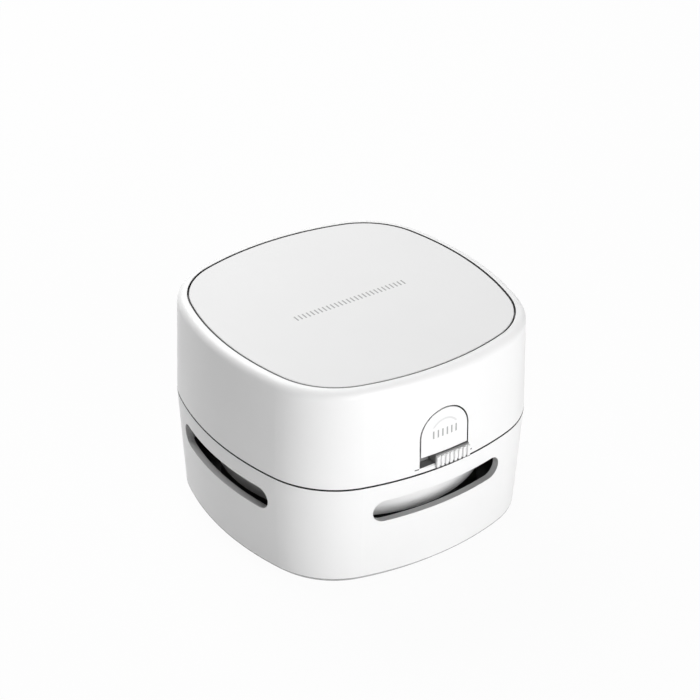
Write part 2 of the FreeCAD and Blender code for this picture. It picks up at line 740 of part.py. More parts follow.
def tray_screws():
    """Two screws down through the tray's floor into the chassis."""
    head_z = CHASSIS_TOP_Z + TRAY_WALL + SCREW_HEAD
    return Part.Compound([screw(place, head_z, CHASSIS_Z) for place in tray_screw_places()])


def battery_cells():
    """Two AA cells side by side, facing opposite ways."""
    cells = []
    for side in (-1, 1):
        tip = -side * (BAY_HALF - CONTACT)
        shoulder = tip + side * CELL_BUTTON
        tail = tip + side * CELL_LENGTH
        low, high = sorted((shoulder, tail))
        button_low, button_high = sorted((tip, shoulder))
        can = rod_x(CELL_RADIUS, low, high, side * CELL_Y, CELL_Z)
        button = rod_x(CELL_BUTTON_RADIUS, button_low, button_high, side * CELL_Y, CELL_Z)
        cells.append(joined([can, button]))
    return Part.Compound(cells)


def contact_springs():
    """Two bowed leaf springs, one behind the flat end of each cell."""
    springs = []
    for side in (-1, 1):
        seat = side * (BAY_HALF - CONTACT)
        crown = seat - side * SPRING_LENGTH
        y = side * CELL_Y - SPRING_WIDTH / 2
        low_z = CELL_Z - SPRING_SPAN
        high_z = CELL_Z + SPRING_SPAN
        inner = side * CONTACT
        outside = arc(Vector(seat, y, low_z), Vector(crown, y, CELL_Z), Vector(seat, y, high_z))
        inside = arc(
            Vector(seat, y, low_z + CONTACT), Vector(crown + inner, y, CELL_Z),
            Vector(seat, y, high_z - CONTACT),
        )
        feet_lines = [
            Part.makeLine(Vector(seat, y, low_z), Vector(seat, y, low_z + CONTACT)),
            Part.makeLine(Vector(seat, y, high_z - CONTACT), Vector(seat, y, high_z)),
        ]
        profile = Part.Wire(Part.sortEdges([outside, inside] + feet_lines)[0])
        springs.append(Part.Face(profile).extrude(Vector(0, SPRING_WIDTH, 0)))
    return Part.Compound(springs)


def contact_plates():
    """A bridge plate across both cells on one end wall and a plate per cell on the other."""
    low_z = CELL_Z - CONTACT_HALF
    high_z = CELL_Z + TRAY_END_RISE
    inner = BAY_HALF - CONTACT
    edge = CELL_Y + CONTACT_HALF
    near = CELL_Y - CONTACT_HALF
    return Part.Compound([
        box(-BAY_HALF, -inner, -edge, edge, low_z, high_z),
        box(inner, BAY_HALF, -edge, -near, low_z, high_z),
        box(inner, BAY_HALF, near, edge, low_z, high_z),
    ])


def lead(points):
    """Square lead along straight runs parallel to the axes."""
    half = LEAD / 2
    runs = []
    for start, end in zip(points, points[1:]):
        low = [min(a, b) - half for a, b in zip(start, end)]
        high = [max(a, b) + half for a, b in zip(start, end)]
        runs.append(box(low[0], high[0], low[1], high[1], low[2], high[2]))
    return joined(runs)


def lead_bars():
    """Stiff leads: one cell to the circuit board, the board to the motor, the motor to a cell."""
    contact_x = BAY_HALF + LEAD / 2
    contact_z = CELL_Z + TRAY_END_RISE + LEAD / 2
    front_y = MOULD_GAP + LEAD / 2 - CELL_Y - CELL_RADIUS - CELL_GAP - TRAY_WALL - 2 * LEAD
    board_y = pcb_y() + PCB + LEAD / 2
    behind_y = board_y + LEAD
    board_z = CHASSIS_TOP_Z + LEAD
    board_x = CARRIER_SHELF_HALF - LEAD
    return Part.Compound([
        lead([
            (contact_x, -CELL_Y, contact_z), (contact_x, -CELL_Y, LEAD_Z), (LEAD_X, -CELL_Y, LEAD_Z),
            (LEAD_X, front_y, LEAD_Z), (LEAD_X, front_y, board_z), (LEAD_X, behind_y, board_z),
            (board_x, behind_y, board_z), (board_x, board_y, board_z),
        ]),
        lead([
            (-board_x, board_y, board_z), (-board_x, behind_y, board_z),
            (-LEAD_X, behind_y, board_z), (-LEAD_X, front_y, board_z), (-LEAD_X, front_y, LEAD_Z),
            (-LEAD_X, TERMINAL_Y, LEAD_Z), (-TERMINAL_X, TERMINAL_Y, LEAD_Z),
        ]),
        lead([
            (contact_x, CELL_Y, contact_z), (contact_x, CELL_Y, LEAD_Z), (LEAD_X, CELL_Y, LEAD_Z),
            (LEAD_X, TERMINAL_Y, LEAD_Z), (TERMINAL_X, TERMINAL_Y, LEAD_Z),
        ]),
    ])


def upper_housing():
    """Drafted shell with a soft rim, a seat for the cover, bosses and the button opening."""
    shell = drafted(upper_inset, PARTING_Z, TOP_Z)
    shell = shell.makeFillet(RIM_FILLET, edges_at(shell, TOP_Z))
    shell = shell.cut([
        prism(UPPER_WALL, PARTING_Z, SEAT_Z),
        prism(SEAT_INSET, SEAT_Z, COVER_Z),
        prism(COVER_INSET - COVER_GAP, COVER_Z, TOP_Z),
        band(-SHADOW_DEPTH, SHADOW_DEPTH, PARTING_Z, PARTING_Z + SHADOW_GAP),
    ])
    places = chassis_screw_places()
    bosses = [boss(place, CHASSIS_TOP_Z, SEAT_Z) for place in places]
    wall_y = UPPER_WALL / 2 - BODY_HALF
    bosses += leaf_screw_pegs(LEAF_BOSS_RADIUS, BOSS_SIDES, wall_y, LEAF_Y)
    sill = OPENING_HALF + SILL_REACH
    outside = -BODY_HALF - BEYOND
    openings = [
        arch(OPENING_HALF, RECESS_Z, outside, LEAF_Y),
        box(-sill, sill, outside, SILL_DEPTH - BODY_HALF, RECESS_Z - SILL_HEIGHT, RECESS_Z),
    ]
    tip_z = CHASSIS_TOP_Z + SCREW_BITE
    openings += [screw_hole(place, CHASSIS_TOP_Z, tip_z) for place in places]
    openings += leaf_screw_pegs(SCREW_RADIUS, SCREW_SIDES, wall_y, LEAF_Y)
    return joined([shell] + bosses).cut(openings)


def top_cover():
    """Flat cover, flush in the rim, with four friction tongues."""
    plate = prism(COVER_INSET, COVER_Z, TOP_Z)
    plate = plate.makeChamfer(COVER_CHAMFER, edges_at(plate, TOP_Z))
    outer = SEAT_INSET + MOULD_GAP
    skirt = band(outer, outer + TONGUE_WALL, COVER_Z - TONGUE_DEPTH, COVER_Z)
    keeper = box(
        -TONGUE_HALF, TONGUE_HALF, BODY_HALF / 2, BODY_HALF, COVER_Z - TONGUE_DEPTH, COVER_Z
    )
    tongues = [skirt.common(turned(keeper, side)) for side in SIDES]
    return joined([plate] + tongues)


def cell_pads():
    """Two soft pads under the cover that keep the cells down."""
    low_z = COVER_Z - PAD
    return Part.Compound([
        box(
            -PAD_HALF_LENGTH, PAD_HALF_LENGTH,
            side * CELL_Y - PAD_HALF_WIDTH, side * CELL_Y + PAD_HALF_WIDTH, low_z, COVER_Z,
        )
        for side in (-1, 1)
    ])


def release_button():
    """Arched button, flush with the housing, with a flange behind the wall and a thumb dish."""
    outside = -BODY_HALF - BEYOND
    cap = arch(BUTTON_WIDTH / 2, BUTTON_BOTTOM_Z, outside, PRESS_Y)
    cap = cap.common(drafted(upper_inset, PARTING_Z, TOP_Z))
    flange = arch(BUTTON_WIDTH / 2 + FLANGE_LIP, BUTTON_BOTTOM_Z + BUTTON_GAP, outside, PRESS_Y)
    flange = flange.common(prism(UPPER_WALL + MOULD_GAP, PARTING_Z, TOP_Z))
    core_half = BUTTON_WIDTH / 2 - BUTTON_SKIN
    core_y = BUTTON_SKIN + DISH_DEPTH - BODY_HALF
    core = arch(core_half, BUTTON_BOTTOM_Z + BUTTON_SKIN, core_y, PRESS_Y)
    dish_y = DISH_DEPTH - DISH_RADIUS - BODY_HALF
    dish = Part.makeSphere(DISH_RADIUS, Vector(0, dish_y, BUTTON_ARCH_Z))
    return joined([cap, flange]).cut([core, dish])


def leaf_screw_pegs(radius, sides, y0, y1):
    """Pegs along Y at the latch spring's two screws."""
    upright = peg(radius, sides, 0, y1 - y0, Vector(0, 0, 0))
    return [laid(upright, y0, side * LEAF_SCREW_X, LEAF_SCREW_Z) for side in (-1, 1)]


def latch_spring():
    """Spring-steel leaf: a bar, two legs beside the button and a nose at the foot of each."""
    back = LEAF_Y + LEAF
    pieces = [box(-LEG_END, LEG_END, LEAF_Y, back, LEAF_BAR_Z, LEAF_TOP_Z)]
    for side in (-1, 1):
        start, end = sorted((side * LEG_START, side * LEG_END))
        nose_start, nose_end = sorted((side * LEG_START, side * NOSE_END))
        pieces.append(box(start, end, LEAF_Y, back, LEG_BOTTOM_Z, LEAF_BAR_Z))
        pieces.append(box(
            nose_start, nose_end, LEAF_Y - NOSE_REACH, LEAF_Y, LEG_BOTTOM_Z, LEG_BOTTOM_Z + LEAF
        ))
    return joined(pieces).cut(leaf_screw_pegs(SCREW_RADIUS, SCREW_SIDES, LEAF_Y, back))


def latch_screws():
    """Two screws that hold the latch spring's bar on the upper housing."""
    back = LEAF_Y + LEAF
    tip_y = UPPER_WALL / 2 - BODY_HALF
    heads = leaf_screw_pegs(SCREW_HEAD_RADIUS, SCREW_SIDES, back, back + SCREW_HEAD)
    shanks = leaf_screw_pegs(SCREW_RADIUS, SCREW_SIDES, tip_y, back)
    return Part.Compound([joined(pair) for pair in zip(heads, shanks)])


def carrier_y():
    """Front face of the switch carrier, just behind the curved front wall."""
    return CONTACT_GAP - side_reach(UPPER_WALL, CARRIER_HALF)


def pcb_y():
    """Front face of the circuit board behind the slide switch."""
    return carrier_y() + CARRIER_WALL + SWITCH_DEPTH


def carrier_screw_places():
    """Centres of the two screws that hang the carrier from the chassis."""
    y = NOTCH_Y + BOSS_RADIUS
    return [Vector(side * CARRIER_SCREW_X, y, 0) for side in (-1, 1)]


def switch_knob():
    """Ribbed cap before the wall, its neck in the recess and a stem through the carrier."""
    rear_y = carrier_y() - MOULD_GAP
    front_y = KNOB_CAP_Y - KNOB_CAP
    cap_top_z = KNOB_CAP_Z + KNOB_CAP_HEIGHT
    x0 = KNOB_X - KNOB_WIDTH / 2
    neck = box(x0, x0 + KNOB_WIDTH, KNOB_CAP_Y, rear_y, KNOB_Z, KNOB_Z + KNOB_HEIGHT)
    cap = box(x0, x0 + KNOB_WIDTH, front_y, KNOB_CAP_Y, KNOB_CAP_Z, cap_top_z)
    grooves = []
    for index in range(RIB_COUNT):
        x = KNOB_X + RIB_PITCH * (index - (RIB_COUNT - 1) / 2)
        grooves.append(box(
            x - RIB_GROOVE / 2, x + RIB_GROOVE / 2,
            front_y, front_y + RIB_DEPTH, KNOB_CAP_Z, cap_top_z,
        ))
    stem = box(
        KNOB_X - STEM_WIDTH / 2, KNOB_X + STEM_WIDTH / 2, rear_y, slider_y(),
        STEM_Z - STEM_HEIGHT / 2, STEM_Z + STEM_HEIGHT / 2,
    )
    return joined([cap.cut(grooves), neck, stem])


def slider_y():
    """Front face of the switch's own slider."""
    return carrier_y() + CARRIER_WALL + MOULD_GAP


def switch_slider():
    """Moving contact block inside the slide switch."""
    return box(
        KNOB_X - SLIDER_HALF, KNOB_X + SLIDER_HALF,
        slider_y(), pcb_y() - SWITCH_SHELL - MOULD_GAP,
        STEM_Z - STEM_HEIGHT / 2, STEM_Z + STEM_HEIGHT / 2,
    )


def shelf_z():
    """Top of the carrier's shelf."""
    return RECESS_Z - KNOB_SIDE_GAP - MOULD_GAP


def switch_body():
    """Slide switch: a small can with its track open to the front."""
    track_low = KNOB_X - SWITCH_TRAVEL - SLIDER_HALF - MOULD_GAP
    track_high = KNOB_X + SLIDER_HALF + MOULD_GAP
    track_half = STEM_HEIGHT / 2 + MOULD_GAP
    front_y = carrier_y() + CARRIER_WALL
    can = box(
        track_low - SWITCH_SHELL, track_high + SWITCH_SHELL, front_y, pcb_y(),
        shelf_z(), STEM_Z + track_half + SWITCH_SHELL / 2,
    )
    track = box(
        track_low, track_high, front_y, pcb_y() - SWITCH_SHELL,
        STEM_Z - track_half, STEM_Z + track_half,
    )
    return can.cut(track)


def switch_carrier():
    """Dark carrier: a slotted plate behind the recess and a shelf back to the chassis."""
    plate_y = carrier_y()
    base_z = shelf_z() - CARRIER_WALL
    top_z = BUTTON_BOTTOM_Z - MOULD_GAP
    plate = box(-CARRIER_HALF, CARRIER_HALF, plate_y, plate_y + CARRIER_WALL, base_z, top_z)
    places = carrier_screw_places()
    shelf_end = places[0].y + BOSS_RADIUS
    shelf = box(-CARRIER_SHELF_HALF, CARRIER_SHELF_HALF, plate_y, shelf_end, base_z, shelf_z())
    pillars = [boss(place, base_z, CHASSIS_Z) for place in places]
    slot = box(
        KNOB_X - SWITCH_TRAVEL - STEM_WIDTH / 2 - MOULD_GAP, KNOB_X + STEM_WIDTH / 2 + MOULD_GAP,
        plate_y, plate_y + CARRIER_WALL,
        STEM_Z - STEM_HEIGHT / 2 - MOULD_GAP, STEM_Z + STEM_HEIGHT / 2 + MOULD_GAP,
    )
    holes = [screw_hole(place, base_z, CHASSIS_Z) for place in places]
    return joined([plate, shelf] + pillars).cut([slot] + holes)


def carrier_screws():
    """Two screws up through the carrier into the chassis."""
    head_z = shelf_z() - CARRIER_WALL - SCREW_HEAD
    return Part.Compound([screw(place, head_z, CHASSIS_TOP_Z) for place in carrier_screw_places()])


def switch_pcb():
    """Small circuit board that the slide switch and the leads are soldered to."""
    y = pcb_y()
    return box(-CARRIER_SHELF_HALF, CARRIER_SHELF_HALF, y, y + PCB, shelf_z(), shelf_z() + PCB_HEIGHT)


NODES = {
    "lower_housing": lower_housing,
    "dust_cup": dust_cup,
    "brush_ring": brush_ring,
    "brush_bristles": brush_bristles,
    "feet": feet,
    "cup_screws": cup_screws,
    "filter_frame": filter_frame,
    "filter_mesh": filter_mesh,
    "fan_shroud": fan_shroud,
    "shroud_screws": shroud_screws,
    "impeller": impeller,
    "motor_shaft": motor_shaft,
    "chassis": chassis,
    "chassis_screws": chassis_screws,
    "motor_can": motor_can,
    "motor_end_cap": motor_end_cap,
    "motor_terminals": motor_terminals,
    "motor_damper": motor_damper,
    "motor_screws": motor_screws,
    "battery_tray": battery_tray,
    "tray_screws": tray_screws,
    "battery_cells": battery_cells,
    "contact_springs": contact_springs,
    "contact_plates": contact_plates,
    "lead_bars": lead_bars,
    "upper_housing": upper_housing,
    "top_cover": top_cover,
    "cell_pads": cell_pads,
    "release_button": release_button,
    "latch_spring": latch_spring,
    "latch_screws": latch_screws,
    "switch_knob": switch_knob,
    "switch_slider": switch_slider,
    "switch_body": switch_body,
    "switch_carrier": switch_carrier,
    "carrier_screws": carrier_screws,
    "switch_pcb": switch_pcb,
}

os.makedirs("parts", exist_ok=True)
for node, make in NODES.items():
    make().exportStep("parts/" + node + ".step")
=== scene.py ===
import bmesh
import bpy
import math
import random

from mathutils import Matrix, Vector


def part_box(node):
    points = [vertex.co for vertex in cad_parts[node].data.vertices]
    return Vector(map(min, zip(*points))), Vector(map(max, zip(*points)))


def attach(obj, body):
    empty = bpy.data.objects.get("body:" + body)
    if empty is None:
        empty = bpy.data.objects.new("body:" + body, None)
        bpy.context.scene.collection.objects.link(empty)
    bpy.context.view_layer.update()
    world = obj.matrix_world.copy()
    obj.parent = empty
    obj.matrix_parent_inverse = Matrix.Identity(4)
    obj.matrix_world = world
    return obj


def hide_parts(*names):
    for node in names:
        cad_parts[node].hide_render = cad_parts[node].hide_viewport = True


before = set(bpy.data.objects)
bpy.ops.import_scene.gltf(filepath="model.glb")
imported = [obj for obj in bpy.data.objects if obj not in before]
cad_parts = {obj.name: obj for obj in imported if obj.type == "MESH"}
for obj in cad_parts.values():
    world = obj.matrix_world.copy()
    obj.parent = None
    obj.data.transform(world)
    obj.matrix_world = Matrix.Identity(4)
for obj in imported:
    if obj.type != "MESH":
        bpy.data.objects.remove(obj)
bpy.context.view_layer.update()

MM = 0.001

# Camera, fitted to the photograph: angles in degrees, lengths in metres
CAMERA_AZIMUTH = -34.04
CAMERA_ELEVATION = 30.713
CAMERA_DISTANCE = 0.6147
CAMERA_RIGHT = -0.01073
CAMERA_UP = 0.04656
CAMERA_LENS = 115.88
SENSOR_WIDTH = 36.0
CAMERA_SHIFT_X = 0.0586
CAMERA_SHIFT_Y = -0.0465

# Floor and light: lengths in metres, power in watts
FLOOR_HALF = 3.0
FLOOR_GLOW = 0.96           # how much of the floor's look is plain white
SKY_STRENGTH = 0.06
LAMP_TARGET = (0.0, 0.0, 0.03)
LAMPS = (                   # name, place, side, power
    ("key_front", (0.05, -0.95, 0.28), 0.6, 8.4),
    ("fill_back", (0.0, 0.62, 0.72), 0.7, 9.4),
    ("fill_left", (-0.9, -0.4, 0.15), 0.5, 1.0),
)

# Surfaces: noises in features per metre, and the samples of the nodes that look round a point
CLOUD_SCALE = 40.0
GLOSS_SCALE = 220.0
GRAIN_SCALE = 6000.0
GRAIN = 0.004 * MM          # depth on a satin moulding
FINE_GRAIN = 0.002 * MM
EDGE_SAMPLES = 6
JOINT_SAMPLES = 8

# Edges of the mouldings, from the frame
TOP_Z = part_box("upper_housing")[1].z
PARTING_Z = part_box("lower_housing")[1].z
WALL_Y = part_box("lower_housing")[0].y
BUTTON_BOTTOM_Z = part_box("release_button")[0].z
KNOB_BOTTOM_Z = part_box("switch_knob")[0].z

# Zones of painted shade on the mouldings: joint lines, the recess, the slots, the airway and the base edge
SHADOW_GAP = 0.5 * MM
COVER_DEPTH = 2.2 * MM
CUP_SHOULDER_Z = 16.6 * MM
CUP_LEDGE_Z = 22.8 * MM
CUP_INSIDE = 20.0 * MM      # radius between the intake pipe and the cup's wall
POCKET_Z = 5.0 * MM         # just above the floor of the dust box
AIRWAY_PAINTED_SHADE_Z = 9.0 * MM    # top of the painted shade on the wall in the airway
BASE_EDGE_Z = 2.8 * MM      # just above the chamfer round the base
SLOT_LOW_Z = 19.4 * MM
SLOT_HIGH_Z = 26.0 * MM
RECESS_Z = 33.0 * MM
BUTTON_REACH = 7.7 * MM     # from the middle to just past the opening's sides
SILL_REACH = 9.0 * MM       # from the middle to the ends of the recess
SILL_Z = 32.7 * MM
KNOB_CAP_Y = -42.12 * MM    # just before the back of the knob's cap
KNOB_EDGE = 0.3 * MM        # height of the painted shade along the knob's lower edge
BUTTON_EDGE_Y = -41.0 * MM  # just behind the button's face
JOINT_REACH = 2.0 * MM      # how near another face must lie for a joint to get painted shade
COVERED = 0.75              # share of the view that is open where a joint gets painted shade, at most
SLACK = 0.02 * MM           # beyond a face that lies on a zone's limit, and between welded vertices
STEEP = 0.7                 # cosine that tells a face's own direction
SLOPED = 0.5                # cosine that takes in a chamfer too
# Black of the left leads, and of the painted shade in joints, openings, the sill, the slots' airway and
# under the cup's shoulder
BLACK = 0.03
# painted shade on the faces inside the slots
SLOT_PAINTED_SHADE = 0.5
# painted shade along the base edge, in place of a contact shadow
BASE_PAINTED_SHADE = 0.4
COVER_GROOVE_PAINTED_SHADE = 0.25          # painted shade in the groove, on the cover's side
RIM_GROOVE_PAINTED_SHADE = 0.1       # painted shade in the groove, on the rim's side
# painted shade in the recess, and on the knob's neck and lower edge
RECESS_PAINTED_SHADE = 0.2

# Printed marks, plain bars in place of any wording
INK = 0.34
BAR_WIDTH = 0.42 * MM
COVER_BARS = 14             # on either side of the middle
COVER_BAR_PITCH = 1.25 * MM
COVER_BAR_HEIGHT = 2.2 * MM
BUTTON_BARS = 3             # on either side of the middle
BUTTON_BAR_PITCH = 1.4 * MM
BUTTON_BAR_HEIGHT = 2.2 * MM
BUTTON_BAR_Z = 41.6 * MM

# Faint painted shade round the upper edge of the button's thumb dish
DISH_Z = 41.2 * MM
DISH_INNER = 4.0 * MM
DISH_OUTER = 4.5 * MM
DISH_LOW = 2.4 * MM         # lower end of the arc, above the dish's middle
DISH_PAINTED_SHADE = 0.72

# Cells and cloth
CELL_SHOULDER_X = 25.85 * MM
CELL_BAND_X = 19.0 * MM
SLEEVE_BAND = (0.5, 0.52, 0.5)
BARE_STEEL = (0.62, 0.62, 0.63)
CLOTH_THREAD = 0.6 * MM     # pitch of the weave
CLOTH_DEPTH = 0.1 * MM
WAVE_RATE = 20.0            # radians a unit that the wave texture runs at scale 1

# Screws, drawn round with threads and cross recesses
SCREW_SIDES = 24
SCREW_HEAD = 0.9 * MM       # height
SCREW_HEAD_ROUND = 0.3 * MM
SCREW_SHANK = 0.86 * MM     # radius
SCREW_THREAD = 0.16 * MM    # depth
SCREW_PITCH = 0.8 * MM
SCREW_STEPS = 4             # rings in one turn of thread
SCREW_SHORT = 0.7 * MM      # that a screw ends before the plain one
CROSS_REACH = 1.1 * MM
CROSS_HALF = 0.24 * MM
CROSS_DEPTH = 0.5 * MM
CROSS_TAPER = 0.7           # size of its bottom against its mouth

# Bristles
HAIR_SEED = 7
HAIRS_IN_TUFT = 26
HAIR_RADIUS = 0.07 * MM
HAIR_SIDES = 5
HAIR_SPLAY = 0.2            # share of a hair's place that its tip moves outwards
HAIR_BOW = HAIR_SPLAY / 3   # the same at half its height
HAIR_RAGGED = 0.1           # share of the height in which the tips end


def shader_tree(name):
    """New material with a Principled shader; returns the material, its node tree and the shader."""
    material = bpy.data.materials.new(name)
    material.use_nodes = True
    tree = material.node_tree
    return material, tree, tree.nodes["Principled BSDF"]


def noise(tree, scale, detail=3.0):
    """Noise in object space, scale in features per metre."""
    place = tree.nodes.new("ShaderNodeTexCoord")
    texture = tree.nodes.new("ShaderNodeTexNoise")
    texture.inputs["Scale"].default_value = scale
    texture.inputs["Detail"].default_value = detail
    tree.links.new(place.outputs["Object"], texture.inputs["Vector"])
    return texture.outputs["Fac"]


def spread(tree, value, low, high, start=0.0, end=1.0):
    """Value from start..end mapped to low..high."""
    mapper = tree.nodes.new("ShaderNodeMapRange")
    mapper.inputs["From Min"].default_value = start
    mapper.inputs["From Max"].default_value = end
    mapper.inputs["To Min"].default_value = low
    mapper.inputs["To Max"].default_value = high
    tree.links.new(value, mapper.inputs["Value"])
    return mapper.outputs["Result"]


def tinted(tree, shader, value, dark, light):
    """Base colour that wanders between two colours."""
    ramp = tree.nodes.new("ShaderNodeMix")
    ramp.data_type = "RGBA"
    ramp.inputs["A"].default_value = (*dark, 1.0)
    ramp.inputs["B"].default_value = (*light, 1.0)
    tree.links.new(value, ramp.inputs["Factor"])
    tree.links.new(ramp.outputs["Result"], shader.inputs["Base Color"])


def grained(tree, shader, height, depth, edge=0.0):
    """Bump of a real depth in metres, over shading that rounds edges by a radius in metres."""
    bump = tree.nodes.new("ShaderNodeBump")
    bump.inputs["Distance"].default_value = depth
    tree.links.new(height, bump.inputs["Height"])
    if edge:
        bevel = tree.nodes.new("ShaderNodeBevel")
        bevel.samples = EDGE_SAMPLES
        bevel.inputs["Radius"].default_value = edge
        tree.links.new(bevel.outputs["Normal"], bump.inputs["Normal"])
    tree.links.new(bump.outputs["Normal"], shader.inputs["Normal"])


def moulded(tree, shader, rough, grain, edge=0.0):
    """Surface out of a mould: uneven gloss between two roughnesses and a fine spark-eroded grain."""
    gloss = spread(tree, noise(tree, GLOSS_SCALE), *rough)
    tree.links.new(gloss, shader.inputs["Roughness"])
    grained(tree, shader, noise(tree, GRAIN_SCALE, detail=2.0), grain, edge)


def plastic(name, dark, light, rough, grain, edge=0.0):
    """Moulded plastic with a faint cloudiness."""
    material, tree, shader = shader_tree(name)
    tinted(tree, shader, noise(tree, CLOUD_SCALE), dark, light)
    moulded(tree, shader, rough, grain, edge)
    return material


def maths(tree, operation, first, second):
    """Math node of two sockets, or of a socket and a number."""
    node = tree.nodes.new("ShaderNodeMath")
    node.operation = operation
    for socket, value in zip(node.inputs, (first, second)):
        if isinstance(value, float):
            socket.default_value = value
        else:
            tree.links.new(value, socket)
    return node.outputs["Value"]


def reach_squared(tree, first, second):
    """Square of the distance that two legs at a right angle reach."""
    squares = [maths(tree, "MULTIPLY", leg, leg) for leg in (first, second)]
    return maths(tree, "ADD", *squares)


def parts_of(tree, output):
    """X, Y and Z of a place or a normal in object space."""
    coordinates = tree.nodes.new("ShaderNodeTexCoord")
    split = tree.nodes.new("ShaderNodeSeparateXYZ")
    tree.links.new(coordinates.outputs[output], split.inputs["Vector"])
    return split.outputs


def outward(tree):
    """1 where a face looks away from the vertical axis, -1 where it looks at it."""
    coordinates = tree.nodes.new("ShaderNodeTexCoord")
    flat = tree.nodes.new("ShaderNodeVectorMath")
    flat.operation = "MULTIPLY"
    flat.inputs[1].default_value = (1.0, 1.0, 0.0)
    away = tree.nodes.new("ShaderNodeVectorMath")
    away.operation = "NORMALIZE"
    along = tree.nodes.new("ShaderNodeVectorMath")
    along.operation = "DOT_PRODUCT"
    tree.links.new(coordinates.outputs["Object"], flat.inputs[0])
    tree.links.new(flat.outputs["Vector"], away.inputs[0])
    tree.links.new(away.outputs["Vector"], along.inputs[0])
    tree.links.new(coordinates.outputs["Normal"], along.inputs[1])
    return along.outputs["Value"]


def zone(tree, *tests):
    """1 where every test (operation, first, second) holds."""
    result = maths(tree, *tests[0])
    for test in tests[1:]:
        result = maths(tree, "MULTIPLY", result, maths(tree, *test))
    return result


def between(socket, low, high):
    """The two tests that hold a value between two limits."""
    return ("GREATER_THAN", socket, low), ("LESS_THAN", socket, high)


def covered(tree):
    """The test that holds where another face lies close in front, as in a closed joint, where painted shade
    goes.
    """
    node = tree.nodes.new("ShaderNodeAmbientOcclusion")
    node.samples = JOINT_SAMPLES
    node.inputs["Distance"].default_value = JOINT_REACH
    return ("LESS_THAN", node.outputs["AO"], COVERED)


def coloured(material, colour, *zones):
    """Gives a material another colour in some zones; returns the zones as one."""
    tree = material.node_tree
    shader = tree.nodes["Principled BSDF"]
    mask = zones[0]
    for other in zones[1:]:
        mask = maths(tree, "MAXIMUM", mask, other)
    blend = tree.nodes.new("ShaderNodeMix")
    blend.data_type = "RGBA"
    tree.links.new(mask, blend.inputs["Factor"])
    tree.links.new(shader.inputs["Base Color"].links[0].from_socket, blend.inputs["A"])
    blend.inputs["B"].default_value = (*colour, 1.0)
    tree.links.new(blend.outputs["Result"], shader.inputs["Base Color"])
    return mask


def grey(value):
    """Neutral colour."""
    return (value, value, value)


def metal(name, colour, rough):
    """Plated metal with uneven gloss between two roughnesses and a faint grain."""
    material, tree, shader = shader_tree(name)
    shader.inputs["Base Color"].default_value = (*colour, 1.0)
    shader.inputs["Metallic"].default_value = 1.0
    gloss = spread(tree, noise(tree, scale=900.0), *rough)
    tree.links.new(gloss, shader.inputs["Roughness"])
    grained(tree, shader, noise(tree, scale=5000.0), GRAIN)
    return material


def paint(material, *nodes):
    """Gives CAD nodes a material."""
    for node in nodes:
        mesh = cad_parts[node].data
        mesh.materials.clear()
        mesh.materials.append(material)


def bars(tree, along, across, count, pitch, height):
    """Zone of a row of short bars, so many at either side of the middle."""
    from_middle = maths(tree, "ABSOLUTE", along, 0.0)
    off_centre = maths(tree, "PINGPONG", from_middle, pitch / 2)
    off_row = maths(tree, "ABSOLUTE", across, 0.0)
    return zone(
        tree, ("GREATER_THAN", off_centre, (pitch - BAR_WIDTH) / 2),
        ("LESS_THAN", from_middle, count * pitch), ("LESS_THAN", off_row, height / 2),
    )


def shell_white(name):
    """Satin white moulding."""
    return plastic(name, grey(0.86), grey(0.9), rough=(0.38, 0.48), grain=GRAIN, edge=0.25 * MM)


def upper_white():
    """White of the motor unit, with painted shade in its joint lines, round the button and in the recess.
    """
    material = shell_white("upper_white")
    tree = material.node_tree
    x, y, z = parts_of(tree, "Object")
    beside = maths(tree, "ABSOLUTE", x, 0.0)
    upright = maths(tree, "ABSOLUTE", parts_of(tree, "Normal")["Y"], 0.0)
    radial = outward(tree)
    # Painted shade in the groove on the rim's side, where the cover lies close
    coloured(material, grey(RIM_GROOVE_PAINTED_SHADE), zone(
        tree, ("LESS_THAN", radial, -STEEP), ("GREATER_THAN", z, TOP_Z - COVER_DEPTH), covered(tree),
    ))
    # Painted shade in black: the parting gap, the sides of the button's opening and the ends of the sill
    coloured(
        material, grey(BLACK),
        zone(
            tree, ("GREATER_THAN", radial, STEEP), ("LESS_THAN", z, PARTING_Z + SHADOW_GAP + SLACK),
            covered(tree),
        ),
        zone(
            tree, ("LESS_THAN", beside, BUTTON_REACH), ("LESS_THAN", upright, STEEP),
            ("LESS_THAN", y, 0.0), *between(z, BUTTON_BOTTOM_Z, TOP_Z - 2 * COVER_DEPTH),
        ),
        zone(
            tree, *between(beside, BUTTON_REACH, SILL_REACH), *between(y, WALL_Y + SLACK, 0.0),
            *between(z, SILL_Z, RECESS_Z + SLACK),
        ),
    )
    # Painted shade in the recess below the button
    coloured(material, grey(RECESS_PAINTED_SHADE), zone(
        tree, ("LESS_THAN", beside, BUTTON_REACH), ("LESS_THAN", upright, STEEP),
        ("LESS_THAN", y, 0.0), *between(z, RECESS_Z - SLACK, BUTTON_BOTTOM_Z),
    ))
    return material


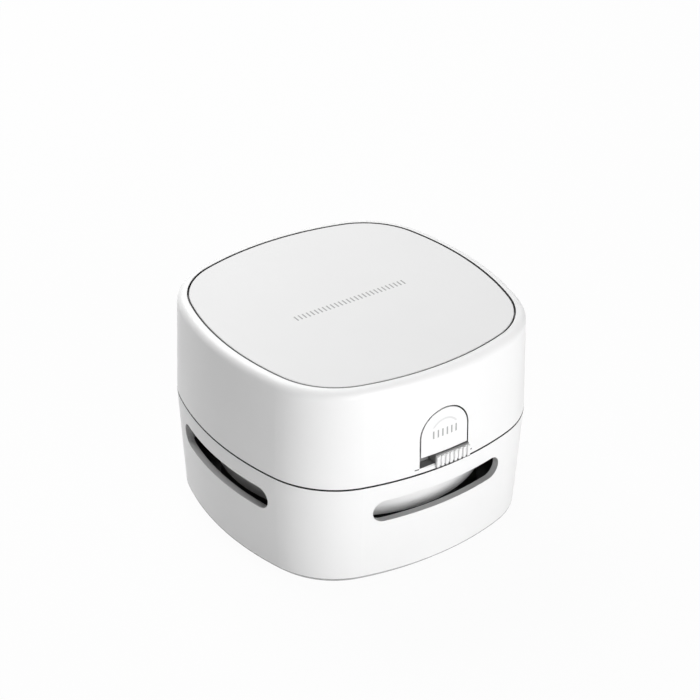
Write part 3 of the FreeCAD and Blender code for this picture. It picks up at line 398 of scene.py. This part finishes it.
def lower_white():
    """White of the dust box, with painted shade: grey in the slots and along the base edge, dark on its
    rim, on its floor inside and low in the airway.
    """
    material = shell_white("lower_white")
    tree = material.node_tree
    z = parts_of(tree, "Object")["Z"]
    level = parts_of(tree, "Normal")["Z"]
    radial = outward(tree)
    # Painted shade in black: the rim's top under the motor unit, the floor inside and the wall low in the
    # airway
    coloured(
        material, grey(BLACK),
        zone(tree, ("GREATER_THAN", level, STEEP), ("GREATER_THAN", z, PARTING_Z - SLACK), covered(tree)),
        zone(tree, ("GREATER_THAN", level, STEEP), ("LESS_THAN", z, POCKET_Z)),
        zone(tree, ("LESS_THAN", radial, -STEEP), ("LESS_THAN", z, AIRWAY_PAINTED_SHADE_Z)),
    )
    # Painted shade on the faces inside the slots
    coloured(material, grey(SLOT_PAINTED_SHADE), zone(
        tree, *between(radial, -STEEP, STEEP), *between(z, SLOT_LOW_Z, SLOT_HIGH_Z),
    ))
    # Painted shade along the chamfer round the base, in place of a contact shadow
    coloured(material, grey(BASE_PAINTED_SHADE), zone(
        tree, ("GREATER_THAN", radial, SLOPED), ("LESS_THAN", z, BASE_EDGE_Z),
    ))
    return material


def button_white():
    """White of the release button, with printed bars, a faint arc of painted shade round its dish and
    painted shade round its edge.
    """
    material = shell_white("button_white")
    tree = material.node_tree
    x, y, z = parts_of(tree, "Object")
    height = maths(tree, "SUBTRACT", z, BUTTON_BAR_Z)
    coloured(material, grey(INK), bars(tree, x, height, BUTTON_BARS, BUTTON_BAR_PITCH, BUTTON_BAR_HEIGHT))
    above = maths(tree, "SUBTRACT", z, DISH_Z)
    reach = reach_squared(tree, x, above)
    # Painted shade in a faint arc round the dish's upper edge
    coloured(material, grey(DISH_PAINTED_SHADE), zone(
        tree, ("GREATER_THAN", above, DISH_LOW), *between(reach, DISH_INNER ** 2, DISH_OUTER ** 2),
    ))
    # Painted shade in black behind the button's face, in its gap
    coloured(material, grey(BLACK), zone(tree, ("GREATER_THAN", y, BUTTON_EDGE_Y)))
    return material


def cover_white():
    """Matt white of the top plate with a row of printed bars, and painted shade down its sides."""
    material = plastic(
        "cover_white", grey(0.77), grey(0.8), rough=(0.5, 0.6), grain=2 * GRAIN, edge=0.1 * MM,
    )
    tree = material.node_tree
    x, y, _ = parts_of(tree, "Object")
    coloured(material, grey(INK), bars(tree, x, y, COVER_BARS, COVER_BAR_PITCH, COVER_BAR_HEIGHT))
    # Painted shade down the cover's sides, in the groove
    coloured(material, grey(COVER_GROOVE_PAINTED_SHADE), zone(
        tree, ("GREATER_THAN", outward(tree), SLOPED), covered(tree),
    ))
    return material


def knob_white():
    """White of the knob's cap, with painted shade along its lower edge and on the neck behind it."""
    material = plastic(
        "knob_white", grey(0.84), grey(0.88), rough=(0.4, 0.5), grain=GRAIN, edge=0.1 * MM,
    )
    tree = material.node_tree
    _, y, z = parts_of(tree, "Object")
    # Painted shade on the knob's neck behind the cap and along its lower edge
    coloured(
        material, grey(RECESS_PAINTED_SHADE),
        zone(tree, ("GREATER_THAN", y, KNOB_CAP_Y)),
        zone(tree, ("LESS_THAN", z, KNOB_BOTTOM_Z + KNOB_EDGE)),
    )
    return material


def cup_grey():
    """Pale collar of the cup with painted shade down to its shoulder, and painted shade in black on the
    outside below that.
    """
    material, tree, shader = shader_tree("cup_grey")
    x, y, z = parts_of(tree, "Object")
    # Painted shade: the collar's colour darkens from its ledge down to its shoulder
    height = spread(tree, z, 0.0, 1.0, start=CUP_SHOULDER_Z, end=CUP_LEDGE_Z)
    tinted(tree, shader, height, grey(0.7), grey(0.95))
    moulded(tree, shader, rough=(0.3, 0.4), grain=GRAIN)
    # Painted shade in black on the cup's outside below the shoulder
    coloured(material, grey(BLACK), zone(
        tree, ("LESS_THAN", z, CUP_SHOULDER_Z), ("GREATER_THAN", outward(tree), STEEP),
        ("GREATER_THAN", reach_squared(tree, x, y), CUP_INSIDE ** 2),
    ))
    return material


def cell_sleeve():
    """Green printed sleeve with a pale band, and bare steel ends."""
    material = plastic(
        "cell_sleeve", (0.03, 0.12, 0.06), (0.04, 0.15, 0.08), rough=(0.25, 0.35), grain=FINE_GRAIN,
    )
    tree = material.node_tree
    shader = tree.nodes["Principled BSDF"]
    x, y, _ = parts_of(tree, "Object")
    end = maths(tree, "MULTIPLY", x, maths(tree, "SIGN", y, 0.0))
    faces = maths(tree, "ABSOLUTE", parts_of(tree, "Normal")["X"], 0.0)
    coloured(material, SLEEVE_BAND, zone(tree, ("LESS_THAN", end, -CELL_BAND_X)))
    steel = coloured(
        material, BARE_STEEL,
        zone(tree, ("GREATER_THAN", faces, STEEP)), zone(tree, ("LESS_THAN", end, -CELL_SHOULDER_X)),
    )
    tree.links.new(steel, shader.inputs["Metallic"])
    return material


def filter_cloth():
    """Pale woven cloth."""
    material, tree, shader = shader_tree("filter_cloth")
    tinted(tree, shader, noise(tree, scale=90.0), grey(0.62), grey(0.76))
    tree.links.new(spread(tree, noise(tree, scale=400.0), 0.85, 1.0), shader.inputs["Roughness"])
    place = tree.nodes.new("ShaderNodeTexCoord")
    threads = []
    for direction in ("X", "Y"):
        wave = tree.nodes.new("ShaderNodeTexWave")
        wave.bands_direction = direction
        wave.inputs["Scale"].default_value = 2 * math.pi / (WAVE_RATE * CLOTH_THREAD)
        tree.links.new(place.outputs["Object"], wave.inputs["Vector"])
        threads.append(wave.outputs["Fac"])
    grained(tree, shader, maths(tree, "MULTIPLY", *threads), CLOTH_DEPTH)
    return material


def lead_colours():
    """Red leads on the right and black ones on the left."""
    material = plastic("leads", (0.4, 0.02, 0.02), (0.5, 0.03, 0.03), rough=(0.4, 0.5), grain=FINE_GRAIN)
    tree = material.node_tree
    coloured(material, grey(BLACK), zone(tree, ("LESS_THAN", parts_of(tree, "Object")["X"], 0.0)))
    return material


def finish_nodes():
    """Materials of the CAD nodes that stay in view."""
    paint(upper_white(), "upper_housing")
    paint(lower_white(), "lower_housing")
    paint(button_white(), "release_button")
    paint(cover_white(), "top_cover")
    paint(knob_white(), "switch_knob")
    paint(cup_grey(), "dust_cup")
    inner = plastic("inner_white", grey(0.7), grey(0.75), rough=(0.4, 0.5), grain=GRAIN)
    paint(inner, "filter_frame", "fan_shroud", "impeller", "chassis", "battery_tray")
    dark = plastic("dark_plastic", grey(0.03), grey(0.05), rough=(0.4, 0.55), grain=1.5 * GRAIN)
    paint(dark, "brush_ring", "motor_end_cap", "switch_slider")
    carrier = plastic("carrier_grey", grey(0.2), grey(0.26), rough=(0.4, 0.55), grain=1.5 * GRAIN)
    paint(carrier, "switch_carrier")
    rubber = plastic("foot_rubber", grey(0.05), grey(0.07), rough=(0.7, 0.85), grain=2.5 * GRAIN)
    paint(rubber, "feet", "cell_pads", "motor_damper", "brush_bristles")
    paint(filter_cloth(), "filter_mesh")
    steel = metal("plated_steel", (0.6, 0.6, 0.61), rough=(0.27, 0.47))
    paint(
        steel, "cup_screws", "shroud_screws", "chassis_screws", "motor_screws", "tray_screws",
        "latch_screws", "carrier_screws", "motor_shaft", "motor_can", "contact_springs",
        "contact_plates", "latch_spring", "switch_body",
    )
    paint(metal("brass", (0.75, 0.58, 0.3), rough=(0.27, 0.47)), "motor_terminals")
    paint(cell_sleeve(), "battery_cells")
    board = plastic("board_mask", (0.01, 0.1, 0.04), (0.02, 0.14, 0.06), rough=(0.3, 0.4), grain=FINE_GRAIN)
    paint(board, "switch_pcb")
    paint(lead_colours(), "lead_bars")


def mesh_object(name, shape, material, body):
    """Object from a bmesh that rides on a CAD body, with the name of its surface."""
    mesh = bpy.data.meshes.new(name)
    shape.to_mesh(mesh)
    shape.free()
    mesh.materials.append(material)
    piece = bpy.data.objects.new(name, mesh)
    bpy.context.scene.collection.objects.link(piece)
    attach(piece, body)
    return piece


def islands(node):
    """Vertex places of each separate shell of a CAD node's mesh."""
    shape = bmesh.new()
    shape.from_mesh(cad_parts[node].data)
    bmesh.ops.remove_doubles(shape, verts=shape.verts, dist=SLACK)
    left = set(shape.verts)
    shells = []
    for seed in shape.verts:
        if seed not in left:
            continue
        left.discard(seed)
        found = [seed]
        for vertex in found:
            for edge in vertex.link_edges:
                other = edge.other_vert(vertex)
                if other in left:
                    left.discard(other)
                    found.append(other)
        shells.append([vertex.co.copy() for vertex in found])
    shape.free()
    return shells


def box_of(spots):
    """Low and high corner round some places."""
    low = Vector([min(spot[axis] for spot in spots) for axis in range(3)])
    high = Vector([max(spot[axis] for spot in spots) for axis in range(3)])
    return low, high


def ring(shape, place, height, sides, radius_at):
    """Ring of vertices round the local Z axis, its radius a function of the angle."""
    vertices = []
    for side in range(sides):
        angle = 2 * math.pi * side / sides
        radius = radius_at(angle)
        spot = Vector((radius * math.cos(angle), radius * math.sin(angle), height))
        vertices.append(shape.verts.new(place @ spot))
    return vertices


def bridge(shape, first, second):
    """Faces between two rings of equal length."""
    for index, vertex in enumerate(first):
        after = (index + 1) % len(first)
        shape.faces.new((vertex, first[after], second[after], second[index]))


def cross_outline(reach, half):
    """Plus-shaped outline, from its right arm round to the left."""
    arm = [(reach, -half), (reach, half), (half, half)]
    return [
        (x * math.cos(turn) - y * math.sin(turn), x * math.sin(turn) + y * math.cos(turn))
        for turn in (math.pi / 2 * quarter for quarter in range(4))
        for x, y in arm
    ]


def thread_radius(turns):
    """Radius of a screw's shank, from how many turns of its thread lie above."""
    return SCREW_SHANK - SCREW_THREAD * abs(2 * (turns % 1.0) - 1)


def head_and_shank(shape, place, radius, length):
    """Walls of a screw's head and its threaded shank; returns the ring round the head's face."""
    face = ring(shape, place, 0.0, SCREW_SIDES, lambda angle: radius - SCREW_HEAD_ROUND)
    rim = ring(shape, place, -SCREW_HEAD_ROUND, SCREW_SIDES, lambda angle: radius)
    last = ring(shape, place, -SCREW_HEAD, SCREW_SIDES, lambda angle: radius)
    bridge(shape, rim, face)
    bridge(shape, last, rim)
    steps = math.floor((length - SCREW_HEAD - SCREW_SHORT) / SCREW_PITCH * SCREW_STEPS)
    for step in range(steps + 1):
        turns = step / SCREW_STEPS
        height = -SCREW_HEAD - turns * SCREW_PITCH
        below = ring(
            shape, place, height, SCREW_SIDES, lambda angle: thread_radius(turns + angle / (2 * math.pi))
        )
        bridge(shape, below, last)
        last = below
    shape.faces.new(last)
    return face


def cross_face(shape, place, face):
    """Head's face inside its ring, with a cross recess."""
    outline = cross_outline(CROSS_REACH, CROSS_HALF)
    mouth = [shape.verts.new(place @ Vector((x, y, 0))) for x, y in outline]
    bottom = [
        shape.verts.new(place @ Vector((x * CROSS_TAPER, y * CROSS_TAPER, -CROSS_DEPTH)))
        for x, y in outline
    ]
    bridge(shape, mouth, bottom)
    shape.faces.new(bottom)
    edges = [
        shape.edges.get((loop[index - 1], vertex))
        for loop in (face, mouth)
        for index, vertex in enumerate(loop)
    ]
    bmesh.ops.triangle_fill(shape, use_beauty=True, edges=edges)


def screw(shape, place, radius, length):
    """Pan-head screw whose head's top lies in the local XY plane, with the shank down -Z."""
    face = head_and_shank(shape, place, radius, length)
    cross_face(shape, place, face)


def screw_place(spots):
    """Matrix, head radius and length of the screw that stands for a plain one."""
    low, high = box_of(spots)
    size = high - low
    axis = max(range(3), key=lambda index: size[index])
    radius = min(size) / 2
    middle = (low + high) / 2
    offsets = [spot - middle for spot in spots]
    on_head = [away for away in offsets if away.length_squared - away[axis] ** 2 > radius ** 2 / 2]
    side = 1 if sum(away[axis] for away in on_head) > 0 else -1
    outwards = Vector([side if index == axis else 0 for index in range(3)])
    turn = Vector((0, 0, 1)).rotation_difference(outwards).to_matrix().to_4x4()
    return Matrix.Translation(middle + outwards * size[axis] / 2) @ turn, radius, size[axis]


def screws(node, body, material):
    """Screws in the places of a CAD node's plain ones."""
    shape = bmesh.new()
    for spots in islands(node):
        screw(shape, *screw_place(spots))
    bmesh.ops.recalc_face_normals(shape, faces=shape.faces)
    piece = mesh_object(node + "_turned", shape, material, body)
    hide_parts(node)


def all_screws():
    """Every set of screws."""
    steel = metal("screw_steel", (0.55, 0.55, 0.56), rough=(0.22, 0.42))
    screws("cup_screws", "dust_box", steel)
    for node in (
        "shroud_screws", "chassis_screws", "motor_screws", "tray_screws", "carrier_screws", "latch_screws",
    ):
        screws(node, "motor_unit", steel)


def hair(shape, middle, away, heights):
    """Hair that leans outwards from a tuft's middle, from its root past half its height to its tip."""
    rings = []
    for splay, height in zip((0.0, HAIR_BOW, HAIR_SPLAY), heights):
        spot = away * (1 + splay)
        place = Matrix.Translation((middle.x + spot.x, middle.y + spot.y, 0))
        rings.append(ring(shape, place, height, HAIR_SIDES, lambda angle: HAIR_RADIUS))
    bridge(shape, rings[1], rings[0])
    bridge(shape, rings[2], rings[1])
    shape.faces.new(rings[2])


def tuft(shape, spots, chance):
    """Hairs in the place of one plain tuft."""
    low, high = box_of(spots)
    middle = (low + high) / 2
    reach = min(high.x - low.x, high.y - low.y) / 2 - HAIR_RADIUS
    for _ in range(HAIRS_IN_TUFT):
        distance = reach * math.sqrt(chance.random()) / (1 + HAIR_SPLAY)
        angle = chance.uniform(0, 2 * math.pi)
        tip_z = low.z + chance.uniform(0, HAIR_RAGGED) * (high.z - low.z)
        away = Vector((math.cos(angle), math.sin(angle), 0)) * distance
        hair(shape, middle, away, (high.z, middle.z, tip_z))


def bristles():
    """Tufts of fine hairs in the places of the CAD node's plain tufts."""
    chance = random.Random(HAIR_SEED)
    shape = bmesh.new()
    for spots in islands("brush_bristles"):
        tuft(shape, spots, chance)
    bmesh.ops.recalc_face_normals(shape, faces=shape.faces)
    nylon = plastic("nylon_black", grey(0.02), grey(0.05), rough=(0.35, 0.5), grain=FINE_GRAIN)
    piece = mesh_object("bristle_hairs", shape, nylon, "dust_box")
    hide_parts("brush_bristles")


def camera():
    """Camera at the photograph's angle."""
    azimuth = math.radians(CAMERA_AZIMUTH)
    elevation = math.radians(CAMERA_ELEVATION)
    back = Vector((
        math.sin(azimuth) * math.cos(elevation),
        -math.cos(azimuth) * math.cos(elevation),
        math.sin(elevation),
    ))
    right = Vector((math.cos(azimuth), math.sin(azimuth), 0))
    up = back.cross(right)
    data = bpy.data.cameras.new("camera")
    data.lens = CAMERA_LENS
    data.sensor_width = SENSOR_WIDTH
    data.shift_x = CAMERA_SHIFT_X
    data.shift_y = CAMERA_SHIFT_Y
    eye = bpy.data.objects.new("camera", data)
    bpy.context.scene.collection.objects.link(eye)
    turn = Matrix((right, up, back)).transposed().to_4x4()
    place = back * CAMERA_DISTANCE + right * CAMERA_RIGHT + up * CAMERA_UP
    eye.matrix_world = Matrix.Translation(place) @ turn
    bpy.context.scene.camera = eye


def softbox(name, place, size, power):
    """Square soft light aimed at the object."""
    data = bpy.data.lights.new(name, "AREA")
    data.size = size
    data.energy = power
    lamp = bpy.data.objects.new(name, data)
    bpy.context.scene.collection.objects.link(lamp)
    aim = Vector(LAMP_TARGET) - Vector(place)
    lamp.rotation_euler = aim.to_track_quat("-Z", "Y").to_euler()
    lamp.location = place


def onlooker(tree):
    """1 for rays from the camera, from gloss or through glass, otherwise 0."""
    path = tree.nodes.new("ShaderNodeLightPath")
    seen = path.outputs["Is Camera Ray"]
    for name in ("Is Glossy Ray", "Is Transmission Ray"):
        seen = maths(tree, "MAXIMUM", seen, path.outputs[name])
    return seen


def floor_paint():
    """Matt floor that looks nearly plain white and keeps a soft shadow."""
    material = plastic("floor_white", grey(0.6), grey(0.61), rough=(0.8, 0.9), grain=FINE_GRAIN / 2)
    tree = material.node_tree
    glow = tree.nodes.new("ShaderNodeEmission")
    mix = tree.nodes.new("ShaderNodeMixShader")
    tree.links.new(spread(tree, onlooker(tree), 0.0, FLOOR_GLOW), mix.inputs["Fac"])
    tree.links.new(tree.nodes["Principled BSDF"].outputs["BSDF"], mix.inputs[1])
    tree.links.new(glow.outputs["Emission"], mix.inputs[2])
    tree.links.new(mix.outputs["Shader"], tree.nodes["Material Output"].inputs["Surface"])
    return material


def lay_floor():
    """Wide pale floor under the object."""
    floor_mesh = bpy.data.meshes.new("floor")
    corners = [
        (-FLOOR_HALF, -FLOOR_HALF, 0), (FLOOR_HALF, -FLOOR_HALF, 0),
        (FLOOR_HALF, FLOOR_HALF, 0), (-FLOOR_HALF, FLOOR_HALF, 0),
    ]
    floor_mesh.from_pydata(corners, [], [(0, 1, 2, 3)])
    floor = bpy.data.objects.new("floor", floor_mesh)
    bpy.context.scene.collection.objects.link(floor)
    floor_mesh.materials.append(floor_paint())


def surroundings():
    """World that looks plain white and gives a little light."""
    world = bpy.data.worlds.new("studio")
    bpy.context.scene.world = world
    world.use_nodes = True
    tree = world.node_tree
    sky = tree.nodes["Background"]
    sky.inputs["Color"].default_value = (*grey(1.0), 1.0)
    tree.links.new(spread(tree, onlooker(tree), SKY_STRENGTH, 1.0), sky.inputs["Strength"])


def studio():
    """Floor, surroundings and soft lights."""
    lay_floor()
    surroundings()
    for lamp in LAMPS:
        softbox(*lamp)
    bpy.context.scene.view_settings.view_transform = "Standard"


finish_nodes()
all_screws()
bristles()
camera()
studio()
